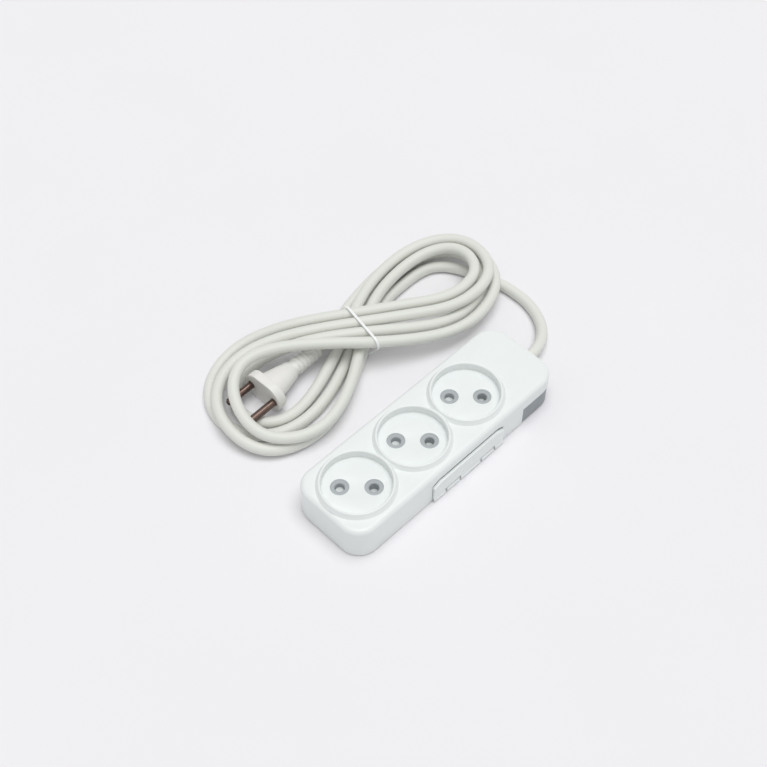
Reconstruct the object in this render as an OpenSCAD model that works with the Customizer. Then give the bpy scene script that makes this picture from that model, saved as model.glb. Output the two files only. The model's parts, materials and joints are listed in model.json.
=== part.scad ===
// Three-way power strip, two-pin, with its lead tied in a figure-eight hank
// X runs along the strip to the cord end, Y across it, Z up from the floor; millimetres

/* [Housing] */
// Length of the housing
body_l = 164; // [150:1:190]
// Width of the housing
body_w = 53.5; // [51:0.5:60]
// Height of the flat top face above the floor
body_h = 24; // [22:0.5:30]
// Radius of the four upright corners
corner_r = 13; // [10:0.5:16]
// Radius of the rounded top edge
edge_r = 3; // [1.5:0.5:4]
// Wall thickness of the moulded cover
wall = 2.2; // [1.8:0.1:2.6]

/* [Sockets] */
// Distance between neighbouring sockets
socket_pitch = 44; // [43:0.5:48]
// Distance from the plain end to the middle of the first socket
socket_start = 25; // [24:0.5:28]
// Inner diameter of a socket recess
recess_d = 40; // [39:0.5:41]
// Depth of the recess floor below the top face
recess_drop = 2.5; // [1.5:0.5:3]
// Height of the raised rim above the top face
rim_h = 3; // [2:0.5:4]
// Turn of the pin line from the length of the strip
socket_turn = -45; // [-45:5:-35]
// Distance between the two pins
pin_gap = 19; // [18:0.1:20]
// Bore of a pin sleeve
bore_d = 5.4; // [5.2:0.1:5.6]
// Outer diameter of a pin sleeve
sleeve_d = 10.5; // [10:0.1:11]

/* [Hanging flap] */
// Length of the flap along the side
flap_l = 58; // [50:1:64]
// Height of the flap when it is shut
flap_h = 15; // [11:0.2:16.4]
// Thickness of the flap
flap_t = 1.9; // [1.6:0.1:2.1]
// Diameter of the hinge pin
hinge_d = 1.6; // [1.4:0.1:1.8]

/* [Cord] */
// Diameter of the round cord
cord_d = 7; // [6:0.1:8]
// Height of the cord outlet above the floor
outlet_z = 8; // [7.5:0.1:10]
// Length of the strain relief
relief_l = 17; // [17:1:30]

/* [Plug] */
// Width of the plug flange across the pins
plug_w = 28.5; // [27:0.5:33]
// Height of the plug flange
plug_h = 20; // [18:0.5:23]
// Diameter of a plug pin
plug_pin_d = 4.8; // [4.7:0.1:4.9]
// Length of a plug pin
plug_pin_l = 19; // [18:0.5:19.5]

/* [Hidden] */
$fn = 48;

white = [0.93, 0.94, 0.94];
grey = [0.52, 0.55, 0.58];
cord_white = [0.88, 0.88, 0.85];
brass = [0.80, 0.66, 0.33];
steel = [0.72, 0.73, 0.75];
brown = [0.42, 0.25, 0.15];
blue = [0.20, 0.35, 0.65];

// Small gaps between fixed pieces, and a cutter's overshoot
gap = 0.15;
fit = 0.05;
over = 1;
half_l = body_l / 2;
half_w = body_w / 2;
socket_x = [for (i = [0 : 2]) -half_l + socket_start + i * socket_pitch];
pin_dx = pin_gap / 2 * cos(socket_turn);
pin_dy = pin_gap / 2 * sin(socket_turn);

// Cover shell: its lower edge clears the floor, and its top wall is as thick as its sides
cover_z = 0.8;
inner_top = body_h - wall;
floor_z = body_h - recess_drop;
floor_under = floor_z - wall;
rim_r = recess_d / 2;
rim_crest = 1.6;
rim_foot = 3;
rim_root = body_h - wall / 2;
rim_arc = [for (a = [0 : 30 : 180]) [rim_r + rim_crest / 2 * (1 + cos(a)),
    body_h + rim_h - rim_crest / 2 * (1 - sin(a))]];

// Socket discs: recess floors pushed up from below against a lip, inside a thin skirt
disc_lip = 1;
disc_r = rim_r + disc_lip;
skirt_t = 0.85;
skirt_drop = 0.6;

// Base plate inside the cover
base_t = 2.2;
base_in = wall + gap;

// Corner posts and their screws
post_r = 3;
post_from_end = 8;
post_from_side = 8.75;
post_x = half_l - post_from_end;
post_y = half_w - post_from_side;
post_cap = 4;
screw_d = 2.8;
screw_fit = 0.1;
screw_l = 11;
head_d = 5.4;
head_t = 1.4;
slot_w = 0.8;
slot_depth = 0.6;

// Flap on the long side: how far it stands out, its recess with a finger slot above, and the hinge
flap_x = 5;
flap_clear = 0.4;
flap_out = 1.4;
finger_slot = 1.8;
flap_z = 0.3;
flap_top = flap_z + flap_h;
flap_corner = [5, 2];
hinge_r = 1.5;
hinge_y = -half_w - flap_out + flap_t / 2;
hinge_z = flap_z + hinge_r;
hinge_run = 0.05;
lug_window = 13;
lug_l = 10;
lug_from_mid = [-13.5, 15.5];
lug_x = [for (d = lug_from_mid) flap_x + d];
lug_h = 4.2;
lug_reach = 5;
flap_cut = half_w + hinge_y + hinge_r + flap_clear;
backing_t = 1.8;
backing_over = 3;

// Contact bars on edge beside the pins, with leaves that reach in under the sleeves
bar_h = 6;
bar_t = 0.8;
bar_z = 5;
bar_off = 4.2;
rail_t = 2;
clip_gap = bore_d + 0.4;
clip_t = 0.6;
clip_reach = 6.5;
clip_drop = 5;
clip_top = floor_under - clip_drop;
sleeve_len = 6;
sleeve_sink = 0.4;
sleeve_t = 1.2;
mouth = 0.5;
collar_top = wall - sleeve_sink + gap;

// Cord outlet: relief, collar behind the insert, then the clamp on the sheath
insert_l = 30;
insert_t = wall;
insert_sink = 0.3;
relief_out = 5;
relief_in = relief_l - relief_out;
relief_end = half_l + relief_out;
relief_r0 = cord_d / 2 + 1.5;
relief_r1 = cord_d / 2 + 0.8;
collar_out = 0.6;
collar_t = 1.8;
insert_x = half_l - insert_l;
insert_cap = 1;
insert_top = outlet_z + relief_r0 + insert_cap;
clamp_l = 5;
clamp_t = 3;
clamp_w = 26;
clamp_screw_y = 9.5;
clamp_screw_l = 7;
clamp_head_d = 5;
clamp_x = half_l - relief_in - clamp_l / 2 - 0.5;
saddle_w = 10;
sheath_x = clamp_x - clamp_l / 2 - 1;

// Screw terminals outside the bars' ends, and the cores that reach them
terminal = 6;
terminal_d = 2.5;
terminal_head_d = 4.5;
terminal_screw_l = 1.1;
terminal_floor = 1;
core_d = 2.8;
core_room = 7;
bar_y = abs(pin_dy) + bar_off;
bar_from_end = 12;
bar_x = -half_l + bar_from_end;
terminal_x = sheath_x - core_room;
terminal_y = bar_y + terminal / 2;

// Lead: points from the end of the strain relief
lead_rest = cord_d / 2;
lead_route = [[0, 0, outlet_z], [5, 0, outlet_z], [12, 2.2, outlet_z - 0.8],
    [19, 6, outlet_z - 1.8], [25.5, 11.8, lead_rest + 1.5], [30.7, 19, lead_rest + 0.6],
    [34.6, 26.5, lead_rest + 0.1], [36.5, 31.5, lead_rest], [37, 35.5, lead_rest], [37, 40, lead_rest]];
lead_points = [for (p = lead_route) p + [relief_end, 0, 0]];

// Hank: the waist's place, the step between neighbouring lanes, and the middles of the two round ends
waist_from_end = 56;
waist = [half_l - waist_from_end, 84];
cord_gap = 0.6;
lane_step = cord_d + cord_gap;
left_mid = [-65, 10];
left_r = 32;
left_ease = 1.1;
right_mid = [70, -6];
right_r = 26;
right_ease = 1.2;

// A station on a round end: place, direction across the lanes, and how far smoothing draws it in
function round_station(mid, r, angle, flip, ease) =
    [mid.x + ease * r * cos(angle), mid.y + ease * r * sin(angle), angle + flip, ease];

// Stations of one figure of eight in the order of travel, from the waist's under pass
stations = concat(
    [[5, 8, -72, 1.1], [-32, -17, -68, 1.1]],
    [for (a = [-92, -138, -184, -230, -279]) round_station(left_mid, left_r, a, 0, left_ease)],
    [[-30, 28, 57, 1.02], [4, -5, 54, 1.02], [30, -21, 60, 1.12], [56, -33, 78, 1.16]],
    [for (a = [-46, 20, 80]) round_station(right_mid, right_r, a, 180, right_ease)],
    [[32, 21, -76, 1.03]]);
last = len(stations) - 1;

// Lane of each of the four loops at each station: above nought is the left of the way the cord runs
lanes = [
    [1.05, 0.9, 1.4, 1.8, 0.5, -0.5, -0.75, -0.5, 0.3, 0.25, -0.2, -0.4, -0.5, -0.5, -0.5],
    [-0.3, -1.25, -1.2, -1.2, -1.3, -1.5, -1.6, -1.55, -0.7, -0.65, -0.5, 0.1, 0.1, 0, 0],
    [0.2, -0.15, -0.25, 0, 0.4, 0.6, 0.7, 0.55, 1.3, 1.25, 0.8, 0.8, 0.6, 0.5, 0.6],
    [0.7, 1.15, 1.9, 1.1, -1, -1.9, -2.35, -2.4, -1.85, -1.7, -1.55, -0.95, -0.9, -1, -1]];

// Height of the cord's underside there, in cord diameters
lifts = [
    [0.2, 0.05, 0, 0.3, 1.2, 1.1, 1.35, 2.15, 2.5, 2.4, 2.3, 2.3, 2.15, 1.3, 1.25],
    [1.2, 0.25, 0, 0, 0, 0, 0.4, 2.35, 2.5, 1.7, 1.15, 1.15, 1.05, 0.2, 0.2],
    [0.2, 0.05, 0, 0, 0, 0, 0.45, 2.15, 2.5, 2.4, 2.3, 2.3, 2.15, 1.3, 1.25],
    [1.25, 1.15, 1.1, 1.35, 2.15, 2.7, 3, 3.2, 2.4, 1.7, 1.15, 1.15, 1.05, 0.2, 0.2]];
function strand_point(s, lane, lift) =
    [waist.x + stations[s].x + cos(stations[s][2]) * lane * lane_step * stations[s][3],
        waist.y + stations[s].y + sin(stations[s][2]) * lane * lane_step * stations[s][3],
        cord_d * (0.5 + lift)];

// Tie: a flat band pulled tight round the waist; its corners are across the waist and up
tie_turn = -10;
tie_t = 0.65;
tie_band = 1.6;
tie_r = cord_d / 2 + 0.9;
tie_corners = [[-2.2 * lane_step, 2.8 * cord_d], [1.3 * lane_step, 2.9 * cord_d],
    [2.65 * lane_step, 0.85 * cord_d], [-0.95 * lane_step, tie_r + tie_t + fit]];

// Plug: where the cord enters it, the way it points, and the lengths of its stages
plug_turn = -2;
plug_z = plug_h / 2 + 0.1;
plug_from_waist = [-25.5, 9.5];
plug_at = [waist.x + plug_from_waist.x, waist.y + plug_from_waist.y, plug_z];
plug_way = [-cos(plug_turn), sin(plug_turn), 0];
plug_relief_l = 22;
relief_mouth = 1.5;
plug_ribs = 6;
rib_step = 3.2;
rib_w = 1.6;
plug_stem_l = 18;
plug_flange_t = 6;
pin_seat = 5;
pin_dome = 1.2;

// Control points of the hank: in from the lead, four loops, and out to the plug
hank_start = lead_points[len(lead_points) - 1] + [0, fit, 0];
end_step = 10;
hank_in = concat(
    [for (i = [-1 : 1]) hank_start + [0, i * end_step, 0]],
    [for (p = [[95.5, -24.5], [92.5, -16], [89, -5], [84.5, 4.5], [76.5, 11.8], [64, 14.2], [48, 13.3]])
        [waist.x + p.x, waist.y + p.y, cord_d / 2]],
    [strand_point(last, 1.15, 0.1)]);
hank_loops = [for (k = [0 : 3], s = [0 : last]) strand_point(s, lanes[k][s], lifts[k][s])];
hank_out = concat([strand_point(0, -1.5, 0.3)],
    [for (i = [-1 : 1]) plug_at + i * end_step * plug_way]);
hank_control = concat(hank_in, hank_loops, hank_out);

// Smooth curve through the neighbourhood of four control points
function blend(c, i, t) =
    (pow(1 - t, 3) * c[i] + (3 * pow(t, 3) - 6 * t * t + 4) * c[i + 1]
    + (-3 * pow(t, 3) + 3 * t * t + 3 * t + 1) * c[i + 2] + pow(t, 3) * c[i + 3]) / 6;
function smooth_route(c, parts) = concat(
    [for (i = [0 : len(c) - 4], j = [0 : parts - 1]) blend(c, i, j / parts)],
    [blend(c, len(c) - 4, 1)]);
hank_points = smooth_route(hank_control, 3);

// Least gap of the hank to itself, on points, leaving out near neighbours along the cord
function least_gap(p, near) = min([for (i = [0 : len(p) - near - 1], j = [i + near : len(p) - 1])
    norm(p[i] - p[j])]) - cord_d;

// Tube swept along points: rings square to the route, split into triangles
function unit(v) = v / norm(v);
function along(p, i) = unit(p[min(i + 1, len(p) - 1)] - p[max(i - 1, 0)]);
function ring(p, i, r, sides) = let (t = along(p, i), a = unit(cross([0, 0, 1], t)), b = cross(t, a))
    [for (k = [0 : sides - 1]) p[i] + r * cos(360 * k / sides) * a + r * sin(360 * k / sides) * b];
module tube(p, d, sides) {
    rings = len(p);
    points = [for (i = [0 : rings - 1]) each ring(p, i, d / 2, sides)];
    skin = [for (i = [0 : rings - 2], k = [0 : sides - 1])
        let (a = i * sides + k, b = i * sides + (k + 1) % sides)
        each [[a, a + sides, b], [b, a + sides, b + sides]]];
    first = [for (k = [1 : sides - 2]) [0, k, k + 1]];
    final = [for (k = [1 : sides - 2]) (rings - 1) * sides * [1, 1, 1] + [0, k + 1, k]];
    polyhedron(points, concat(skin, first, final), convexity = 10);
}

// Slab with round upright corners, from cubes and cylinders
module slab(l, w, r, z0, z1) {
    translate([-l / 2 + r, -w / 2, z0])
        cube([l - 2 * r, w, z1 - z0]);
    translate([-l / 2, -w / 2 + r, z0])
        cube([l, w - 2 * r, z1 - z0]);
    for (x = [-1, 1], y = [-1, 1])
        translate([x * (l / 2 - r), y * (w / 2 - r), z0])
            cylinder(r = r, h = z1 - z0);
}

// Slab whose top edge is rounded too
module soft_slab(l, w, r, e, z0, z1) {
    slab(l, w, r, z0, z1 - e);
    slab(l - 2 * e, w - 2 * e, r - e, z1 - e - over, z1);
    for (x = [-1, 1], y = [-1, 1])
        translate([x * (l / 2 - r), y * (w / 2 - r), z1 - e])
            rotate_extrude()
                translate([r - e, 0])
                    circle(e);
    for (y = [-1, 1])
        translate([-l / 2 + r, y * (w / 2 - e), z1 - e])
            rotate([0, 90, 0])
                cylinder(r = e, h = l - 2 * r);
    for (x = [-1, 1])
        translate([x * (l / 2 - e), -w / 2 + r, z1 - e])
            rotate([-90, 0, 0])
                cylinder(r = e, h = w - 2 * r);
}

// Places of the four corner posts
module at_posts() {
    for (x = [-1, 1], y = [-1, 1])
        translate([x * post_x, y * post_y, 0])
            children();
}

// Places of the two pins of one socket
module at_pins(i) {
    for (s = [-1, 1])
        translate([socket_x[i] + s * pin_dx, s * pin_dy, 0])
            children();
}

// Outline of the flap as a solid with its two top corners cut, for the flap and its recess
module flap_shape(grow, head, y0, y1, z0) {
    l = flap_l / 2 + grow;
    top = flap_top + head;
    translate([flap_x, y1, 0])
        rotate([90, 0, 0])
            linear_extrude(y1 - y0)
                polygon([[-l, z0], [l, z0], [l, top - flap_corner.y], [l - flap_corner.x, top],
                    [-l + flap_corner.x, top], [-l, top - flap_corner.y]]);
}

// Base plate: floor of the housing, with contact rails, hinge lugs and clamp posts
module base_plate() {
    color(white)
        difference() {
            union() {
                slab(body_l - 2 * base_in, body_w - 2 * base_in, corner_r - base_in, 0, base_t);
                for (s = [-1, 1])
                    translate([bar_x, s * bar_y - rail_t / 2, base_t - gap])
                        cube([terminal_x - bar_x, rail_t, bar_z - base_t + gap / 2]);
                for (x = lug_x) {
                    translate([x - lug_l / 2, hinge_y, flap_z])
                        cube([lug_l, lug_reach, 2 * hinge_r]);
                    translate([x - lug_l / 2, hinge_y, hinge_z])
                        rotate([0, 90, 0])
                            cylinder(r = hinge_r, h = lug_l);
                }
                for (y = [-1, 1])
                    translate([clamp_x, y * clamp_screw_y, base_t - gap])
                        cylinder(r = post_r, h = outlet_z + cord_d / 2 - base_t - gap);
                translate([clamp_x - clamp_l / 2, -saddle_w / 2, base_t - gap])
                    cube([clamp_l, saddle_w, outlet_z - cord_d / 2 - base_t]);
            }
            at_posts() {
                translate([0, 0, -over])
                    cylinder(d = screw_d + 2 * gap, h = base_t + 2 * over);
                translate([0, 0, -over])
                    cylinder(d = head_d + 2 * gap, h = head_t + over);
            }
            for (x = lug_x)
                translate([x - lug_l, hinge_y, hinge_z])
                    rotate([0, 90, 0])
                        cylinder(d = hinge_d + fit, h = 2 * lug_l);
            for (y = [-1, 1])
                translate([clamp_x, y * clamp_screw_y, base_t + over])
                    cylinder(d = screw_d + screw_fit, h = body_h);
        }
}

// Top cover: shell with three rimmed openings, the flap's recess and the outlet end cut away
module top_cover() {
    color(white)
        difference() {
            union() {
                difference() {
                    soft_slab(body_l, body_w, corner_r, edge_r, cover_z, body_h);
                    slab(body_l - 2 * wall, body_w - 2 * wall, corner_r - wall, cover_z - over, inner_top);
                }
                // Pad behind the flap's recess
                intersection() {
                    slab(body_l - wall, body_w - wall, corner_r - wall / 2,
                        lug_h + flap_z, inner_top + gap);
                    translate([flap_x - flap_l / 2 - backing_over, -half_w, lug_h + flap_z])
                        cube([flap_l + 2 * backing_over, flap_cut + backing_t, body_h]);
                }
                for (x = socket_x)
                    translate([x, 0, 0]) {
                        translate([0, 0, floor_under - skirt_drop])
                            cylinder(r = disc_r + fit + skirt_t,
                                h = inner_top - floor_under + skirt_drop + gap);
                        rotate_extrude()
                            polygon(concat([[rim_r, rim_root], [rim_r + rim_foot, rim_root],
                                [rim_r + rim_foot, body_h]], rim_arc));
                    }
            }
            for (x = socket_x) {
                translate([x, 0, floor_z])
                    cylinder(r = rim_r, h = body_h);
                translate([x, 0, 0])
                    cylinder(r = disc_r + fit, h = floor_z + fit);
            }
            flap_shape(flap_clear, finger_slot, -half_w - over, -half_w + flap_cut, -over);
            // Opening under the pad for the hinge lugs
            translate([flap_x - flap_l / 2 - flap_clear, -half_w - over, -over])
                cube([flap_l + 2 * flap_clear, over + wall + gap, lug_h + flap_z + over]);
            translate([insert_x, -body_w, -over])
                cube([body_l, 2 * body_w, insert_top + gap + over]);
        }
    // Screw posts that hang from the top wall
    color(white)
        at_posts()
            difference() {
                translate([0, 0, base_t + gap])
                    cylinder(r = post_r, h = inner_top - base_t);
                cylinder(d = screw_d + screw_fit, h = inner_top - post_cap);
            }
}

// Floor of one recess: a disc with a hole for each sleeve
module socket_disc(i) {
    color(white)
        difference() {
            translate([socket_x[i], 0, floor_under])
                cylinder(r = disc_r, h = wall);
            at_pins(i)
                cylinder(d = sleeve_d + 2 * fit, h = body_h);
        }
}
module socket_disc_a() { socket_disc(0); }
module socket_disc_b() { socket_disc(1); }
module socket_disc_c() { socket_disc(2); }

// Pin sleeves of one socket: grey flanged tubes with a countersunk mouth
module sleeves(i) {
    color(grey)
        at_pins(i)
            translate([0, 0, floor_z - sleeve_sink])
                rotate_extrude()
                    polygon([[bore_d / 2 + mouth, 0], [sleeve_d / 2, 0], [sleeve_d / 2, -collar_top],
                        [sleeve_d / 2 + 1, -collar_top], [sleeve_d / 2 + 1, -collar_top - 1],
                        [bore_d / 2 + sleeve_t, -collar_top - 1], [bore_d / 2 + sleeve_t, -sleeve_len],
                        [bore_d / 2, -sleeve_len], [bore_d / 2, -mouth]]);
}
module sleeves_a() { sleeves(0); }
module sleeves_b() { sleeves(1); }
module sleeves_c() { sleeves(2); }

// Contact bar: strip on edge with two leaves at each pin and a screw terminal at its end
module busbar(s) {
    side = s * sign(pin_dy);
    color(brass)
        difference() {
            union() {
                translate([bar_x, side * bar_y - bar_t / 2, bar_z])
                    cube([terminal_x - bar_x, bar_t, bar_h]);
                for (x = socket_x, e = [-1, 1])
                    translate([x + s * pin_dx + e * (clip_gap + clip_t) / 2 - clip_t / 2,
                        side * (bar_y - clip_reach / 2) - clip_reach / 2, bar_z])
                        cube([clip_t, clip_reach, clip_top - bar_z]);
                translate([terminal_x - terminal, side * terminal_y - terminal / 2, bar_z])
                    cube([terminal, terminal, terminal]);
            }
            translate([terminal_x - terminal + terminal_floor, side * terminal_y, bar_z + terminal / 2])
                rotate([0, 90, 0])
                    cylinder(d = core_d + 2 * gap, h = terminal);
            translate([terminal_x - terminal / 2, side * terminal_y, bar_z + terminal / 2])
                cylinder(d = terminal_d + screw_fit, h = terminal);
        }
}
module busbar_line() { busbar(-1); }
module busbar_neutral() { busbar(1); }

// Pan-head screw with a straight slot, head upwards from the seat at z = 0
module screw(d, head, height, len) {
    difference() {
        union() {
            cylinder(d = head, h = height);
            translate([0, 0, -len])
                cylinder(d = d, h = len + height / 2);
        }
        translate([-head, -slot_w / 2, height - slot_depth])
            cube([2 * head, slot_w, over]);
    }
}

// Two terminal screws
module terminal_screws() {
    color(steel)
        for (s = [-1, 1])
            translate([terminal_x - terminal / 2, s * terminal_y, bar_z + terminal + fit])
                screw(terminal_d, terminal_head_d, head_t, terminal_screw_l);
}

// Cord clamp: bar that holds the sheath down on its saddle
module cord_clamp() {
    color(grey)
        difference() {
            translate([clamp_x - clamp_l / 2, -clamp_w / 2, outlet_z + cord_d / 2 + fit])
                cube([clamp_l, clamp_w, clamp_t]);
            for (y = [-1, 1])
                translate([clamp_x, y * clamp_screw_y, 0])
                    cylinder(d = screw_d + 2 * gap, h = body_h);
        }
}

// Two clamp screws
module clamp_screws() {
    color(steel)
        for (y = [-1, 1])
            translate([clamp_x, y * clamp_screw_y, outlet_z + cord_d / 2 + clamp_t + 2 * fit])
                screw(screw_d, clamp_head_d, head_t, clamp_screw_l);
}

// Four housing screws, driven up through the base plate
module cover_screws() {
    color(steel)
        at_posts()
            translate([0, 0, head_t - fit])
                rotate([180, 0, 0])
                    screw(screw_d, head_d, head_t - 2 * gap, screw_l);
}

// Grey end insert: lower wall of the outlet end, wrapped round both corners
module end_insert() {
    color(grey)
        difference() {
            slab(body_l - 2 * insert_sink, body_w - 2 * insert_sink, corner_r - insert_sink,
                cover_z, insert_top);
            slab(body_l - 2 * insert_t, body_w - 2 * insert_t, corner_r - insert_t,
                -over, insert_top + over);
            translate([-body_l, -body_w, -over])
                cube([body_l + insert_x + gap, 2 * body_w, body_h]);
            translate([0, 0, outlet_z])
                rotate([0, 90, 0])
                    cylinder(r = relief_r0 + fit, h = body_l);
        }
}

// Hanging flap: plate with hinge knuckles along its lower edge, bored for the pin
module hanging_flap() {
    color(white)
        difference() {
            union() {
                flap_shape(0, 0, hinge_y - flap_t / 2, hinge_y + flap_t / 2, hinge_z);
                translate([flap_x - flap_l / 2, hinge_y, hinge_z])
                    rotate([0, 90, 0])
                        cylinder(r = hinge_r, h = flap_l);
            }
            for (x = lug_x)
                translate([x - lug_window / 2, hinge_y - lug_reach, -over])
                    cube([lug_window, 2 * lug_reach, lug_h + flap_z + over]);
            translate([flap_x - flap_l, hinge_y, hinge_z])
                rotate([0, 90, 0])
                    cylinder(d = hinge_d + 2 * hinge_run, h = 2 * flap_l);
        }
}

// Steel hinge pin through lugs and knuckles
module hinge_pin() {
    color(steel)
        translate([flap_x - flap_l / 2 + 1, hinge_y, hinge_z])
            rotate([0, 90, 0])
                cylinder(d = hinge_d, h = flap_l - 2);
}

// Sheath of the cord inside the housing
module inner_sheath() {
    color(cord_white)
        translate([sheath_x, 0, outlet_z])
            rotate([0, 90, 0])
                cylinder(d = cord_d, h = relief_end - sheath_x);
}

// One insulated core from the sheath's end to its terminal
module core(s) {
    x0 = sheath_x - fit;
    x1 = terminal_x - terminal + terminal_floor + fit;
    y0 = s * sign(pin_dy) * core_d * 0.6;
    y1 = s * sign(pin_dy) * terminal_y;
    z1 = bar_z + terminal / 2;
    mid = [(x0 + terminal_x) / 2, (y0 + y1) / 2, (outlet_z + z1) / 2];
    tube([[x0, y0, outlet_z], [x0 - core_d, y0, outlet_z], mid, [terminal_x + core_d / 2, y1, z1],
        [x1, y1, z1]], core_d, 8);
}
module core_line() { color(brown) core(-1); }
module core_neutral() { color(blue) core(1); }

// Strain relief: tapered sleeve on the sheath, held in the end insert
module strain_relief() {
    color(grey)
        translate([relief_end - relief_l, 0, outlet_z])
            rotate([0, 90, 0])
                difference() {
                    union() {
                        cylinder(r = relief_r0, h = relief_in);
                        translate([0, 0, relief_in])
                            cylinder(r1 = relief_r0, r2 = relief_r1, h = relief_l - relief_in);
                        translate([0, 0, relief_in - insert_t - collar_t - gap])
                            cylinder(r = relief_r0 + collar_out, h = collar_t);
                    }
                    translate([0, 0, -over])
                        cylinder(d = cord_d + 2 * fit, h = relief_l + 2 * over);
                }
}

// Free lead from the outlet to the hank
module cord_lead() {
    color(cord_white)
        tube(lead_points, cord_d, 10);
}

// Figure-eight hank: one unbroken tube from the lead to the plug
module cord_hank() {
    color(cord_white)
        tube(hank_points, cord_d, 6);
}

// Loop of the tie: a hull over round corners
module tie_loop(r, w) {
    hull()
        for (p = tie_corners)
            translate([-w / 2, p.x, p.y])
                rotate([0, 90, 0])
                    cylinder(r = r, h = w, $fn = 32);
}

// Thin tie round the waist of the hank
module cord_tie() {
    color(white)
        translate([waist.x, waist.y, 0])
            rotate([0, 0, tie_turn])
                difference() {
                    tie_loop(tie_r + tie_t, tie_band);
                    tie_loop(tie_r, 2 * tie_band);
                }
}

// Frame of the plug: x forward along the pins
module plug_frame() {
    translate(plug_at)
        rotate([0, 0, 180 - plug_turn])
            children();
}

// Ribbed relief behind the plug
module plug_relief() {
    color(cord_white)
        plug_frame()
            rotate([0, 90, 0])
                difference() {
                    union() {
                        cylinder(r1 = cord_d / 2 + 0.7, r2 = cord_d / 2 + 1.4, h = plug_relief_l);
                        for (i = [0 : plug_ribs - 1])
                            translate([0, 0, 1 + i * rib_step])
                                cylinder(r = cord_d / 2 + 1.5 + 0.1 * i, h = rib_w);
                    }
                    translate([0, 0, -over])
                        cylinder(d = cord_d + 2 * gap, h = over + relief_mouth);
                }
}

// Moulded plug: stem that widens to an oblong flange
module plug_body() {
    color(cord_white)
        plug_frame()
            difference() {
                union() {
                    hull() {
                        translate([plug_relief_l, 0, 0])
                            rotate([0, 90, 0])
                                cylinder(r = cord_d / 2 + 2.4, h = 1, $fn = 32);
                        translate([plug_relief_l + plug_stem_l - 1, 0, 0])
                            rotate([0, 90, 0])
                                scale([1, 1.25, 1])
                                    cylinder(r = plug_h / 2 - 2, h = 1, $fn = 32);
                    }
                    translate([plug_relief_l + plug_stem_l, 0, 0])
                        rotate([0, 90, 0])
                            slab(plug_h, plug_w, plug_h / 2 - 0.5, 0, plug_flange_t);
                }
                for (s = [-1, 1])
                    translate([plug_relief_l + plug_stem_l + plug_flange_t - pin_seat, s * pin_gap / 2, 0])
                        rotate([0, 90, 0])
                            cylinder(d = plug_pin_d + 0.06, h = 2 * pin_seat);
            }
}

// Two round pins with domed ends
module plug_pins() {
    color(steel)
        plug_frame()
            for (s = [-1, 1])
                translate([plug_relief_l + plug_stem_l + plug_flange_t - pin_seat + fit, s * pin_gap / 2, 0])
                    rotate([0, 90, 0]) {
                        cylinder(d = plug_pin_d, h = plug_pin_l + pin_seat - pin_dome);
                        translate([0, 0, plug_pin_l + pin_seat - pin_dome])
                            cylinder(d1 = plug_pin_d, d2 = plug_pin_d - 2, h = pin_dome);
                    }
}

base_plate();
top_cover();
socket_disc_a();
socket_disc_b();
socket_disc_c();
sleeves_a();
sleeves_b();
sleeves_c();
busbar_line();
busbar_neutral();
terminal_screws();
cord_clamp();
clamp_screws();
cover_screws();
end_insert();
hanging_flap();
hinge_pin();
inner_sheath();
core_line();
core_neutral();
strain_relief();
cord_lead();
cord_hank();
cord_tie();
plug_relief();
plug_body();
plug_pins();

// Printed when the hank is drawn: least gap to itself, in millimetres
echo(hank_least_gap = least_gap(smooth_route(hank_control, 6), 18));  // cord_hank
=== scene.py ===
import json
import math

import bmesh
import bpy
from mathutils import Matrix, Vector

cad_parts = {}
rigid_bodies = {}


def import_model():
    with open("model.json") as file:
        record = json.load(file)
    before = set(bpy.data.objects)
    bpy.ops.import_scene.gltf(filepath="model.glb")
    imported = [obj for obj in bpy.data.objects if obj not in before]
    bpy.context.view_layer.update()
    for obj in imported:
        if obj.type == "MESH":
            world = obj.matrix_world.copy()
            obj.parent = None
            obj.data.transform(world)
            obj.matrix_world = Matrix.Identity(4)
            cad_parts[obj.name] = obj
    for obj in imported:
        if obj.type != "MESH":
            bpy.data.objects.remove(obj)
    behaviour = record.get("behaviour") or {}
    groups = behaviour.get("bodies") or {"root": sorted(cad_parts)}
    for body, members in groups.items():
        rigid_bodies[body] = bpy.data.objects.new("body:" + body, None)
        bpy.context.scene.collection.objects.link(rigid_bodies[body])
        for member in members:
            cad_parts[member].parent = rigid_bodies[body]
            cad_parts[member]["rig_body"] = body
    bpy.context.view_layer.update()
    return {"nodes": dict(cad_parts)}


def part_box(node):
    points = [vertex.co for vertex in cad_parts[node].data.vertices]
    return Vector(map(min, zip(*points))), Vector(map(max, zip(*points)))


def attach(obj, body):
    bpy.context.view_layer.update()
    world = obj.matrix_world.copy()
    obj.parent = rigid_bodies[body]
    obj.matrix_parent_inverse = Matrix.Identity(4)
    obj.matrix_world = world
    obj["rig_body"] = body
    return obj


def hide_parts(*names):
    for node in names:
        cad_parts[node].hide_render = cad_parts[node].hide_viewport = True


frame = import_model()
nodes = frame["nodes"]

# Camera
# A long lens looks down on the strip from its plain end, as the photograph does.
# The frame is square, and the lens was fitted to the pin holes and the housing's outline.
LENS_PIXELS = 1300
IMAGE_PIXELS = 767
CAMERA_TARGET = Vector((0.0157, 0.0520, 0.0))
CAMERA_DISTANCE = 0.785
CAMERA_NEAR = 0.01
CAMERA_AZIMUTH = math.radians(-45)
CAMERA_ELEVATION = math.radians(52.5)

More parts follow.
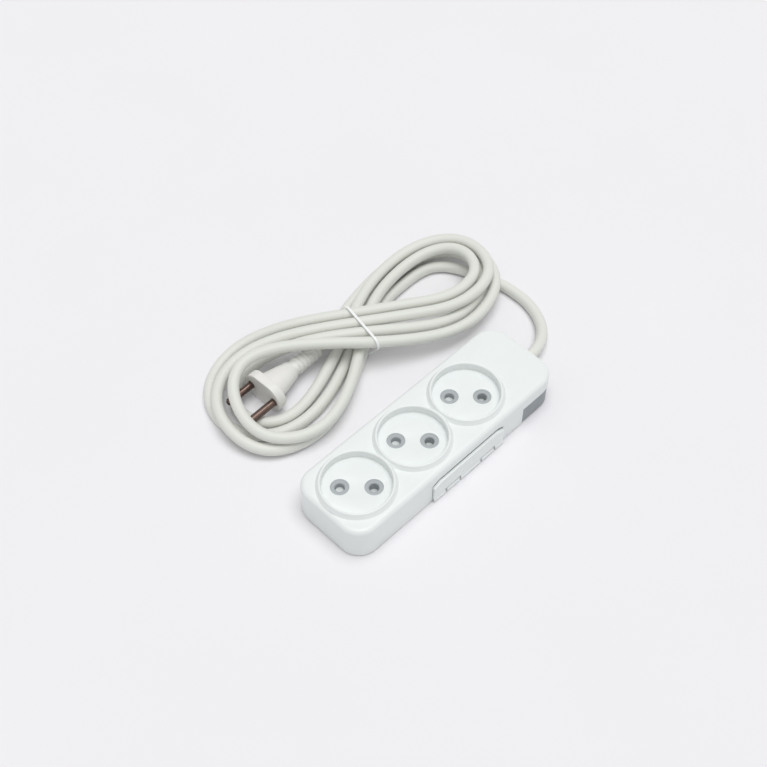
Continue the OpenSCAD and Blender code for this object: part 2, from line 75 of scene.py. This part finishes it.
camera_data = bpy.data.cameras.new("camera")
camera_data.angle = 2 * math.atan(IMAGE_PIXELS / 2 / LENS_PIXELS)
camera_data.clip_start = CAMERA_NEAR
camera = bpy.data.objects.new("camera", camera_data)
bpy.context.scene.collection.objects.link(camera)
look_back = Vector((
    math.sin(CAMERA_AZIMUTH) * math.cos(CAMERA_ELEVATION),
    -math.cos(CAMERA_AZIMUTH) * math.cos(CAMERA_ELEVATION),
    math.sin(CAMERA_ELEVATION)))
camera.location = CAMERA_TARGET + CAMERA_DISTANCE * look_back
camera.rotation_euler = look_back.to_track_quat("Z", "Y").to_euler()
bpy.context.scene.camera = camera


# Cord
# Round two-core lead in a soft PVC sheath, drawn through a die: it leaves the strain relief, crosses
# to the hank, makes four figures of eight that the tie holds at the waist, and ends in the plug.
def linear(hex_colour):
    """Linear red, green, blue and alpha of an sRGB hex colour."""
    parts = [int(hex_colour[i:i + 2], 16) / 255 for i in (1, 3, 5)]
    return [c / 12.92 if c <= 0.04045 else ((c + 0.055) / 1.055) ** 2.4 for c in parts] + [1.0]


def add_node(tree, kind, settings=None, inputs=None):
    """A node of that kind in the tree; an input that is given a socket is linked to it."""
    node = tree.nodes.new(kind)
    for name, value in (settings or {}).items():
        setattr(node, name, value)
    for key, value in (inputs or {}).items():
        if isinstance(value, bpy.types.NodeSocket):
            tree.links.new(value, node.inputs[key])
        else:
            node.inputs[key].default_value = value
    return node


# Places of the two colours and of the result among a Mix node's sockets
MIX_FIRST = 6
MIX_SECOND = 7
MIX_RESULT = 2


def new_finish(name):
    """A new material, its node tree and its shader."""
    material = bpy.data.materials.new(name)
    material.use_nodes = True
    return material, material.node_tree, material.node_tree.nodes["Principled BSDF"]


def linked(name, mesh):
    """A new object for the mesh, at the origin."""
    made = bpy.data.objects.new(name, mesh)
    bpy.context.scene.collection.objects.link(made)
    return made


def settled(made):
    """The object with its modifiers turned into a plain mesh."""
    bpy.context.view_layer.update()
    graph = bpy.context.evaluated_depsgraph_get()
    mesh = bpy.data.meshes.new_from_object(made.evaluated_get(graph), depsgraph=graph)
    name = made.name
    bpy.data.objects.remove(made)
    return linked(name, mesh)


def sized_tree(name, sizes):
    """A geometry tree with an input for each size, its input node, and each value by its socket."""
    tree = bpy.data.node_groups.new(name, "GeometryNodeTree")
    tree.interface.new_socket("Geometry", in_out="INPUT", socket_type="NodeSocketGeometry")
    values = {}
    for label, kind, value in sizes:
        socket = tree.interface.new_socket(label, in_out="INPUT", socket_type=kind)
        values[socket.identifier] = value
    tree.interface.new_socket("Geometry", in_out="OUTPUT", socket_type="NodeSocketGeometry")
    return tree, add_node(tree, "NodeGroupInput"), values


def grown(made, tree, values, geometry, material):
    """The plain mesh that the tree makes from the object, in the material."""
    whole = add_node(tree, "GeometryNodeRealizeInstances", inputs={"Geometry": geometry})
    coated = add_node(tree, "GeometryNodeSetMaterial", inputs={
        "Geometry": whole.outputs["Geometry"], "Material": material})
    add_node(tree, "NodeGroupOutput", inputs={"Geometry": coated.outputs["Geometry"]})
    modifier = made.modifiers.new(tree.name, "NODES")
    modifier.node_group = tree
    for identifier, value in values.items():
        modifier[identifier] = value
    return settled(made)


# Sizes of the pieces are in millimetres from here on, and their meshes in metres
CORD_D = 7.0
CORD_SIDES = 24

# The lead runs straight out of the strain relief, then makes a quarter turn to where the hank starts
LEAD_START = Vector((87, 0, 8))
LEAD_STRAIGHT = 2
LEAD_END = Vector((124, 40, CORD_D / 2))
LEAD_DOWN_TURN = math.radians(70)
LEAD_STEPS = 36


def lead_point(turn):
    """A place on the lead's quarter turn, which comes down to the floor before its end."""
    down = (1 - math.cos(math.pi * min(1, turn / LEAD_DOWN_TURN))) / 2
    return Vector((
        LEAD_START.x + LEAD_STRAIGHT + (LEAD_END.x - LEAD_START.x - LEAD_STRAIGHT) * math.sin(turn),
        LEAD_START.y + (LEAD_END.y - LEAD_START.y) * (1 - math.cos(turn)),
        LEAD_START.z + (LEAD_END.z - LEAD_START.z) * down))


lead_line = [LEAD_START] + [lead_point(math.pi / 2 * i / LEAD_STEPS) for i in range(LEAD_STEPS)]

# The hank: a left and a right round end, and the waist between them, from which its places are taken
START_GAP = 0.05
HANK_START = LEAD_END + Vector((0, START_GAP, 0))
HANK_PARTS = 8
LANE_STEP = CORD_D + 0.6
END_STEP = 10
WAIST = (26.0, 84.0)
LEFT_MID, LEFT_R, LEFT_EASE = (-65, 10), 32, 1.1
RIGHT_MID, RIGHT_R, RIGHT_EASE = (70, -6), 26, 1.2


def round_station(mid, radius, angle, flip, ease):
    """A place on a round end of the hank, the direction across its lanes and how wide they lie."""
    turn = math.radians(angle)
    x = mid[0] + ease * radius * math.cos(turn)
    y = mid[1] + ease * radius * math.sin(turn)
    return (x, y, angle + flip, ease)


# Stations along one loop, from the waist: place, direction across the lanes, and width of the lanes
stations = [(5, 8, -72, 1.1), (-32, -17, -68, 1.1)]
stations += [round_station(LEFT_MID, LEFT_R, a, 0, LEFT_EASE) for a in (-92, -138, -184, -230, -279)]
stations += [(-30, 28, 57, 1.02), (4, -5, 54, 1.02), (30, -21, 60, 1.12), (56, -33, 78, 1.16)]
stations += [round_station(RIGHT_MID, RIGHT_R, a, 180, RIGHT_EASE) for a in (-46, 20, 80)]
stations += [(32, 21, -76, 1.03)]

# Lane of each loop at each station: above nought is the left of the way the cord runs
LANES = [
    [1.05, 0.9, 1.4, 1.8, 0.5, -0.5, -0.75, -0.5, 0.3, 0.25, -0.2, -0.4, -0.5, -0.5, -0.5],
    [-0.3, -1.25, -1.2, -1.2, -1.3, -1.5, -1.6, -1.55, -0.7, -0.65, -0.5, 0.1, 0.1, 0, 0],
    [0.2, -0.15, -0.25, 0, 0.4, 0.6, 0.7, 0.55, 1.3, 1.25, 0.8, 0.8, 0.6, 0.5, 0.6],
    [0.7, 1.15, 1.9, 1.1, -1, -1.9, -2.35, -2.4, -1.85, -1.7, -1.55, -0.95, -0.9, -1, -1]]
ENTRY_LANE = 1.15
EXIT_LANE = -1.5

# Height of the cord's underside there, in cord diameters
LIFTS = [
    [0.2, 0.05, 0, 0.3, 1.2, 1.1, 1.35, 2.15, 2.5, 2.4, 2.3, 2.3, 2.15, 1.3, 1.25],
    [1.2, 0.25, 0, 0, 0, 0, 0.4, 2.35, 2.5, 1.7, 1.15, 1.15, 1.05, 0.2, 0.2],
    [0.2, 0.05, 0, 0, 0, 0, 0.45, 2.15, 2.5, 2.4, 2.3, 2.3, 2.15, 1.3, 1.25],
    [1.25, 1.15, 1.1, 1.35, 2.15, 2.7, 3, 3.2, 2.4, 1.7, 1.15, 1.15, 1.05, 0.2, 0.2]]
ENTRY_LIFT = 0.1
EXIT_LIFT = 0.3


def strand_point(station, lane, lift):
    """A control point of the hank, in millimetres."""
    x, y, angle, width = stations[station]
    across = lane * LANE_STEP * width
    turn = math.radians(angle)
    return Vector((
        WAIST[0] + x + math.cos(turn) * across,
        WAIST[1] + y + math.sin(turn) * across,
        CORD_D * (0.5 + lift)))


PLUG_TURN = math.radians(-2)
PLUG_FROM_WAIST = (-25.5, 9.5)
PLUG_Z = 10.1
PLUG_AT = Vector((WAIST[0] + PLUG_FROM_WAIST[0], WAIST[1] + PLUG_FROM_WAIST[1], PLUG_Z))
PLUG_WAY = Vector((-math.cos(PLUG_TURN), math.sin(PLUG_TURN), 0))

# The way round the outside of the right lobe, from the lead to the first loop
ENTRY_POINTS = (
    (95.5, -24.5), (92.5, -16), (89, -5), (84.5, 4.5), (76.5, 11.8), (64, 14.2), (48, 13.3))

hank_control = [HANK_START + Vector((0, i * END_STEP, 0)) for i in (-1, 0, 1)]
hank_control += [Vector((WAIST[0] + x, WAIST[1] + y, CORD_D / 2)) for x, y in ENTRY_POINTS]
hank_control += [strand_point(len(stations) - 1, ENTRY_LANE, ENTRY_LIFT)]
for loop_lanes, loop_lifts in zip(LANES, LIFTS):
    hank_control += [strand_point(s, loop_lanes[s], loop_lifts[s]) for s in range(len(stations))]
hank_control += [strand_point(0, EXIT_LANE, EXIT_LIFT)]
hank_control += [PLUG_AT + i * END_STEP * PLUG_WAY for i in (-1, 0, 1)]


def smooth_hank(points, parts):
    """A smooth blend that follows the hank's control points."""
    line = []
    for i in range(len(points) - 3):
        a, b, c, d = points[i:i + 4]
        for j in range(parts):
            t = j / parts
            line.append(((1 - t) ** 3 * a + (3 * t ** 3 - 6 * t * t + 4) * b
                         + (-3 * t ** 3 + 3 * t * t + 3 * t + 1) * c + t ** 3 * d) / 6)
    return line + [(points[-3] + 4 * points[-2] + points[-1]) / 6]


cord_path = [p / 1000 for p in lead_line + smooth_hank(hank_control, HANK_PARTS)]

# Drawn PVC: matt and faintly warm, with slow patches along the length and fine lines from the die.
# The lines are drawn coarser than the real ones, so that they show
PATCH_MM, PATCH_STRETCH = 14.0, 0.25
DIE_LINE_MM, DIE_LINE_STRETCH, DIE_LINE_DEPTH_MM = 0.9, 0.03, 0.02
CORD_ROUGH_LOW, CORD_ROUGH_HIGH = 0.46, 0.56
PLASTIC_IOR = 1.53
cord_pvc, pvc_tree, pvc_shader = new_finish("drawn_soft_pvc")
straight = add_node(pvc_tree, "ShaderNodeAttribute", {"attribute_name": "straight_place"})
patch_place = add_node(pvc_tree, "ShaderNodeMapping", inputs={
    "Vector": straight.outputs["Vector"], "Scale": (PATCH_STRETCH, 1, 1)})
patches = add_node(pvc_tree, "ShaderNodeTexNoise", inputs={
    "Vector": patch_place.outputs["Vector"], "Scale": 1000 / PATCH_MM, "Detail": 3.0})
pvc_colour = add_node(pvc_tree, "ShaderNodeMix", {"data_type": "RGBA"}, {
    "Factor": patches.outputs["Fac"], MIX_FIRST: linear("#DDDFD8"), MIX_SECOND: linear("#E5E6E0")})
line_place = add_node(pvc_tree, "ShaderNodeMapping", inputs={
    "Vector": straight.outputs["Vector"], "Scale": (DIE_LINE_STRETCH, 1, 1)})
die_lines = add_node(pvc_tree, "ShaderNodeTexNoise", inputs={
    "Vector": line_place.outputs["Vector"], "Scale": 1000 / DIE_LINE_MM, "Detail": 2.0})
pvc_bump = add_node(pvc_tree, "ShaderNodeBump", inputs={
    "Height": die_lines.outputs["Fac"], "Distance": DIE_LINE_DEPTH_MM / 1000, "Strength": 1.0})
pvc_rough = add_node(pvc_tree, "ShaderNodeMapRange", inputs={
    "Value": patches.outputs["Fac"], "To Min": CORD_ROUGH_LOW, "To Max": CORD_ROUGH_HIGH})
pvc_tree.links.new(pvc_colour.outputs[MIX_RESULT], pvc_shader.inputs["Base Color"])
pvc_tree.links.new(pvc_rough.outputs["Result"], pvc_shader.inputs["Roughness"])
pvc_tree.links.new(pvc_bump.outputs["Normal"], pvc_shader.inputs["Normal"])
pvc_shader.inputs["IOR"].default_value = PLASTIC_IOR

cord_line = bpy.data.curves.new("cord_line", "CURVE")
cord_line.dimensions = "3D"
cord_spline = cord_line.splines.new("POLY")
cord_spline.points.add(len(cord_path) - 1)
for spot, place in zip(cord_spline.points, cord_path):
    spot.co = (*place, 1.0)

# The sheath: a ring swept along the line, which also keeps where each point lies on the straight cord
sheath, sheath_in, sheath_values = sized_tree("cord_sheath", (
    ("Radius", "NodeSocketFloat", CORD_D / 2000),
    ("Sides", "NodeSocketInt", CORD_SIDES)))
travel = add_node(sheath, "GeometryNodeSplineParameter")
marked_line = add_node(sheath, "GeometryNodeStoreNamedAttribute", {"data_type": "FLOAT"}, {
    "Geometry": sheath_in.outputs["Geometry"], "Name": "travel", "Value": travel.outputs["Length"]})
ring = add_node(sheath, "GeometryNodeCurvePrimitiveCircle", inputs={
    "Resolution": sheath_in.outputs["Sides"], "Radius": sheath_in.outputs["Radius"]})
ring_place = add_node(sheath, "GeometryNodeInputPosition")
marked_ring = add_node(sheath, "GeometryNodeStoreNamedAttribute", {"data_type": "FLOAT_VECTOR"}, {
    "Geometry": ring.outputs["Curve"], "Name": "ring_place", "Value": ring_place.outputs["Position"]})
swept = add_node(sheath, "GeometryNodeCurveToMesh", inputs={
    "Curve": marked_line.outputs["Geometry"], "Profile Curve": marked_ring.outputs["Geometry"],
    "Fill Caps": True})
swept_travel = add_node(sheath, "GeometryNodeInputNamedAttribute", {"data_type": "FLOAT"}, {
    "Name": "travel"})
swept_ring = add_node(sheath, "GeometryNodeInputNamedAttribute", {"data_type": "FLOAT_VECTOR"}, {
    "Name": "ring_place"})
ring_parts = add_node(sheath, "ShaderNodeSeparateXYZ", inputs={"Vector": swept_ring.outputs["Attribute"]})
straight_place = add_node(sheath, "ShaderNodeCombineXYZ", inputs={
    "X": swept_travel.outputs["Attribute"], "Y": ring_parts.outputs["X"], "Z": ring_parts.outputs["Y"]})
placed = add_node(sheath, "GeometryNodeStoreNamedAttribute", {"data_type": "FLOAT_VECTOR"}, {
    "Geometry": swept.outputs["Mesh"], "Name": "straight_place",
    "Value": straight_place.outputs["Vector"]})
smoothed = add_node(sheath, "GeometryNodeSetShadeSmooth", inputs={"Geometry": placed.outputs["Geometry"]})
cord = grown(linked("cord", cord_line), sheath, sheath_values, smoothed.outputs["Geometry"], cord_pvc)
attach(cord, "strip")
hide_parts("cord_lead", "cord_hank")


# Cord tie
# Flat white nylon band, cut from a roll and pulled tight round the waist of the hank.
# Its edges are eased, and its ends are turned under where they don't show.
SHEEN_SPREAD = 0.04


def mottled(name, shade, light, roughness, mottle_mm, grain_mm, grain_depth_mm, ior=PLASTIC_IOR):
    """A plain finish: faint mottle between two colours, and a grain that is coarse enough to show."""
    material, tree, shader = new_finish(name)
    place = add_node(tree, "ShaderNodeTexCoord")
    mottle = add_node(tree, "ShaderNodeTexNoise", inputs={
        "Vector": place.outputs["Object"], "Scale": 1000 / mottle_mm, "Detail": 3.0})
    colour = add_node(tree, "ShaderNodeMix", {"data_type": "RGBA"}, {
        "Factor": mottle.outputs["Fac"], MIX_FIRST: linear(shade), MIX_SECOND: linear(light)})
    grain = add_node(tree, "ShaderNodeTexNoise", inputs={
        "Vector": place.outputs["Object"], "Scale": 1000 / grain_mm, "Detail": 2.0})
    sheen = add_node(tree, "ShaderNodeMapRange", inputs={
        "Value": mottle.outputs["Fac"],
        "To Min": roughness - SHEEN_SPREAD, "To Max": roughness + SHEEN_SPREAD})
    bump = add_node(tree, "ShaderNodeBump", inputs={
        "Height": grain.outputs["Fac"], "Distance": grain_depth_mm / 1000, "Strength": 1.0})
    tree.links.new(colour.outputs[MIX_RESULT], shader.inputs["Base Color"])
    tree.links.new(sheen.outputs["Result"], shader.inputs["Roughness"])
    tree.links.new(bump.outputs["Normal"], shader.inputs["Normal"])
    shader.inputs["IOR"].default_value = ior
    return material


MERGE_GAP = 1e-6
FLAT_ANGLE = math.radians(0.5)
SHARP_ANGLE = math.radians(28)
EASE_STEPS = 3


def eased(node, width_mm, material):
    """A copy of a CAD node with its sharp edges rounded over, in place of the node."""
    mesh = nodes[node].data.copy()
    shape = bmesh.new()
    shape.from_mesh(mesh)
    bmesh.ops.remove_doubles(shape, verts=shape.verts, dist=MERGE_GAP)
    bmesh.ops.dissolve_limit(shape, angle_limit=FLAT_ANGLE, verts=shape.verts, edges=shape.edges)
    shape.to_mesh(mesh)
    shape.free()
    mesh.materials.clear()
    mesh.materials.append(material)
    mesh.shade_smooth()
    made = linked(node + "_eased", mesh)
    bevel = made.modifiers.new("ease", "BEVEL")
    bevel.width = width_mm / 1000
    bevel.segments = EASE_STEPS
    bevel.limit_method = "ANGLE"
    bevel.angle_limit = SHARP_ANGLE
    bevel.use_clamp_overlap = True
    bevel.harden_normals = True
    made = settled(made)
    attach(made, nodes[node]["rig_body"])
    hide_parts(node)
    return made


# Nylon strip is smooth and a little glossy, and its colour hardly varies
tie_nylon = mottled(
    "rolled_nylon_white", "#F4F6F6", "#FAFBFB", roughness=0.30,
    mottle_mm=6.0, grain_mm=0.9, grain_depth_mm=0.002)
cord_tie = eased("cord_tie", width_mm=0.15, material=tie_nylon)


# Base plate and top cover
# White ABS mouldings: the plate is screwed up from below into posts that hang from the cover.
# The edges that show are eased as a mould leaves them.

# Polished ABS keeps a soft sheen, with a barely seen grain that breaks up its reflections
abs_white = mottled(
    "moulded_abs_white", "#EBF0EF", "#EFF3F2", roughness=0.34,
    mottle_mm=14.0, grain_mm=0.9, grain_depth_mm=0.004)
for node in ("base_plate", "top_cover"):
    eased(node, width_mm=0.35, material=abs_white)


# Socket discs
# Round floors of the three recesses, moulded in the same white ABS.
# Each is pushed up from below and lies flat on its ledge.
SOCKETS = "abc"
for letter in SOCKETS:
    eased(f"socket_disc_{letter}", width_mm=0.2, material=abs_white)


# Pin sleeves
# Flanged tubes of grey polyamide that line the pin holes, with a countersunk mouth.
# They are pressed into the discs from above.

# Polyamide is duller than the cover and slightly cloudy
sleeve_grey = mottled(
    "moulded_polyamide_grey", "#A6ACAE", "#B0B6B8", roughness=0.42,
    mottle_mm=5.0, grain_mm=0.6, grain_depth_mm=0.004)
for letter in SOCKETS:
    eased(f"sleeves_{letter}", width_mm=0.15, material=sleeve_grey)


# Contact bars and terminals
# Sheet brass, stamped and bent into sprung leaves under the pin holes, one bar for each pole.
# A zinc-plated screw at the end of each bar holds its core.
GLOSS_SPREAD = 0.08


def plain_metal(name, shade, light, roughness, scratch_mm):
    """Metal that is cloudy between two colours, with scratches in its gloss, coarse enough to show."""
    material, tree, shader = new_finish(name)
    place = add_node(tree, "ShaderNodeTexCoord")
    scratch = add_node(tree, "ShaderNodeTexNoise", inputs={
        "Vector": place.outputs["Object"], "Scale": 1000 / scratch_mm, "Detail": 4.0})
    colour = add_node(tree, "ShaderNodeMix", {"data_type": "RGBA"}, {
        "Factor": scratch.outputs["Fac"], MIX_FIRST: linear(shade), MIX_SECOND: linear(light)})
    gloss = add_node(tree, "ShaderNodeMapRange", inputs={
        "Value": scratch.outputs["Fac"],
        "To Min": roughness - GLOSS_SPREAD, "To Max": roughness + GLOSS_SPREAD})
    tree.links.new(colour.outputs[MIX_RESULT], shader.inputs["Base Color"])
    tree.links.new(gloss.outputs["Result"], shader.inputs["Roughness"])
    shader.inputs["Metallic"].default_value = 1.0
    return material


def repaint(node, material):
    """Gives a CAD node that is already right its finish."""
    nodes[node].data.materials.clear()
    nodes[node].data.materials.append(material)


# Rolled brass is warm and half bright, and zinc plating is cool and a little cloudy
sheet_brass = plain_metal("stamped_brass", "#D0B47A", "#DEC48C", roughness=0.32, scratch_mm=1.5)
zinc_steel = plain_metal("zinc_plated_steel", "#C1C5C8", "#CFD2D4", roughness=0.35, scratch_mm=1.2)
for node in ("busbar_line", "busbar_neutral"):
    repaint(node, sheet_brass)
repaint("terminal_screws", zinc_steel)


# Shutters
# A rocker of pale polyamide lies under each pair of pin holes, with a pad that closes each sleeve.
# A plug's two pins tip it and push it aside. Only the pads show, so only they are made, and stay shut.
PAD_D = 5.4
PAD_THICK = 1.2
PAD_EASE = 0.2
PAD_EASE_STEPS = 2
PAD_SIDES = 32
PAD_DEPTH_LEFT = 3.7
PAD_DEPTH_RIGHT = 5.2
COLLAR_D = 12.5
ROCKER_AXIS = (1, 1, 0)

pad_places = []
for letter in SOCKETS:
    low, high = (1000 * Vector(corner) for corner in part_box(f"sleeves_{letter}"))
    pin_offset = (high.x - low.x - COLLAR_D) / 2
    for side, depth in ((-1, PAD_DEPTH_LEFT), (1, PAD_DEPTH_RIGHT)):
        pad_places.append(Vector((
            (low.x + high.x) / 2 + side * pin_offset,
            (low.y + high.y) / 2 - side * pin_offset,
            high.z - depth - PAD_THICK / 2)))
pin_gap = math.hypot(2 * pin_offset, 2 * pin_offset)
rocker_tilt = math.atan2(PAD_DEPTH_RIGHT - PAD_DEPTH_LEFT, pin_gap)
pad_mesh = bpy.data.meshes.new("shutter_pads")
pad_mesh.from_pydata([p / 1000 for p in pad_places], [], [])

# Unpainted polyamide is pale, cool and half matt
pad_pale = mottled(
    "moulded_polyamide_pale", "#DCE1E0", "#E4E8E7", roughness=0.45,
    mottle_mm=5.0, grain_mm=0.6, grain_depth_mm=0.004)

pad_tree, pad_in, pad_values = sized_tree("shutter_pad", (
    ("Radius", "NodeSocketFloat", PAD_D / 2000),
    ("Thickness", "NodeSocketFloat", PAD_THICK / 1000),
    ("Tilt", "NodeSocketFloat", rocker_tilt),
    ("Sides", "NodeSocketInt", PAD_SIDES)))
pad = add_node(pad_tree, "GeometryNodeMeshCylinder", inputs={
    "Vertices": pad_in.outputs["Sides"], "Radius": pad_in.outputs["Radius"],
    "Depth": pad_in.outputs["Thickness"]})
pad_turn = add_node(pad_tree, "FunctionNodeAxisAngleToRotation", inputs={
    "Axis": ROCKER_AXIS, "Angle": pad_in.outputs["Tilt"]})
set_pads = add_node(pad_tree, "GeometryNodeInstanceOnPoints", inputs={
    "Points": pad_in.outputs["Geometry"], "Instance": pad.outputs["Mesh"],
    "Rotation": pad_turn.outputs["Rotation"]})
shutter_pads = grown(
    linked("shutter_pads", pad_mesh), pad_tree, pad_values, set_pads.outputs["Instances"], pad_pale)
pad_bevel = shutter_pads.modifiers.new("ease", "BEVEL")
pad_bevel.width = PAD_EASE / 1000
pad_bevel.segments = PAD_EASE_STEPS
shutter_pads = settled(shutter_pads)
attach(shutter_pads, "strip")


# Cord clamp, inner sheath and cores
# A grey bar is screwed down on the sheath inside the cover.
# Past it the sheath is stripped, and two insulated cores run on to the terminals.

# Moulded PVC is dull and faintly warm, and core insulation is a deep, even colour
soft_pvc = mottled(
    "moulded_soft_pvc", "#E4E3E0", "#ECEBE8", roughness=0.46,
    mottle_mm=9.0, grain_mm=0.8, grain_depth_mm=0.006)
repaint("cord_clamp", sleeve_grey)
repaint("clamp_screws", zinc_steel)
repaint("inner_sheath", soft_pvc)
for node, name, shade, light in (
        ("core_line", "brown_core_pvc", "#6B4026", "#754A2E"),
        ("core_neutral", "blue_core_pvc", "#2F58A0", "#3A64AC")):
    repaint(node, mottled(
        name, shade, light, roughness=0.45, mottle_mm=3.0, grain_mm=0.5, grain_depth_mm=0.004))


# End insert and strain relief
# A grey polypropylene wall closes the cord end, slid between the cover and the plate.
# It holds the tapered sleeve of soft PVC that the cord leaves by.

# Polypropylene has a spark-roughened, quite matt face
insert_grey = mottled(
    "moulded_polypropylene_grey", "#90969A", "#9CA2A6", roughness=0.55,
    mottle_mm=6.0, grain_mm=0.7, grain_depth_mm=0.015, ior=1.49)
eased("end_insert", width_mm=0.3, material=insert_grey)
eased("strain_relief", width_mm=0.3, material=soft_pvc)


# Housing screws
# Slotted steel screws, plated with zinc, driven up through the base plate into the cover's posts.
# They close the housing on the discs, the contact bars, the insert and the strain relief.
repaint("cover_screws", zinc_steel)


# Hanging flap
# Flat white ABS plate, hinged along its lower edge on a zinc-plated steel pin.
# It lies against the side of the housing until it is swung down.
eased("hanging_flap", width_mm=0.3, material=abs_white)
repaint("hinge_pin", zinc_steel)


# Plug
# Soft PVC moulded over the two pins and the cord's end: ribbed relief, stem and round flange.
# The pins are plated brass, turned with domed ends.

# The pins' brass is given a dark brownish colour, which paints in the shade they lie in under the cord
pin_metal_painted_shade = plain_metal("pin_brass_painted_shade", "#66564F", "#75635C", roughness=0.22, scratch_mm=1.0)
repaint("plug_pins", pin_metal_painted_shade)
plug_relief = eased("plug_relief", width_mm=0.3, material=soft_pvc)
plug_body = eased("plug_body", width_mm=0.8, material=soft_pvc)


# Floor and light
# Pale seamless paper under one wide soft lamp, almost overhead.
# The room's own even light fills the shadows, and where it is seen or mirrored it is as pale as the paper.
FLOOR_HALF_M = 40.0

# Paper is dead matt, with a faint cool cast
paper = mottled(
    "matt_paper", "#EFEEF1", "#F3F2F5", roughness=0.85,
    mottle_mm=120.0, grain_mm=2.0, grain_depth_mm=0.0, ior=1.45)
floor_sides = ((-1, -1), (1, -1), (1, 1), (-1, 1))
floor_corners = [(x * FLOOR_HALF_M, y * FLOOR_HALF_M, 0) for x, y in floor_sides]
floor_mesh = bpy.data.meshes.new("floor")
floor_mesh.from_pydata(floor_corners, [], [(0, 1, 2, 3)])
floor_mesh.materials.append(paper)
linked("floor", floor_mesh)

ROOM_LIGHT = 0.47
ROOM_SEEN = 0.90
world = bpy.data.worlds.new("studio")
world.use_nodes = True
room_tree = world.node_tree
room_rays = add_node(room_tree, "ShaderNodeLightPath")
seen_or_mirrored = add_node(room_tree, "ShaderNodeMath", {"operation": "MAXIMUM"}, {
    0: room_rays.outputs["Is Camera Ray"], 1: room_rays.outputs["Is Glossy Ray"]})
seen_any_way = add_node(room_tree, "ShaderNodeMath", {"operation": "MAXIMUM"}, {
    0: seen_or_mirrored.outputs["Value"], 1: room_rays.outputs["Is Transmission Ray"]})
room_strength = add_node(room_tree, "ShaderNodeMapRange", inputs={
    "Value": seen_any_way.outputs["Value"], "To Min": ROOM_LIGHT, "To Max": ROOM_SEEN})
room_shader = room_tree.nodes["Background"]
room_shader.inputs["Color"].default_value = linear("#FFFFFF")
room_tree.links.new(room_strength.outputs["Result"], room_shader.inputs["Strength"])
bpy.context.scene.world = world

LAMP_WAY = Vector((0.05, -0.09, 1.0))
LAMP_SPREAD = math.radians(42)
LAMP_STRENGTH = 1.64
lamp_data = bpy.data.lights.new("lamp_high", "SUN")
lamp_data.angle = LAMP_SPREAD
lamp_data.energy = LAMP_STRENGTH
lamp = bpy.data.objects.new("lamp_high", lamp_data)
bpy.context.scene.collection.objects.link(lamp)
lamp.rotation_euler = LAMP_WAY.to_track_quat("Z", "Y").to_euler()

bpy.context.scene.view_settings.view_transform = "Standard"
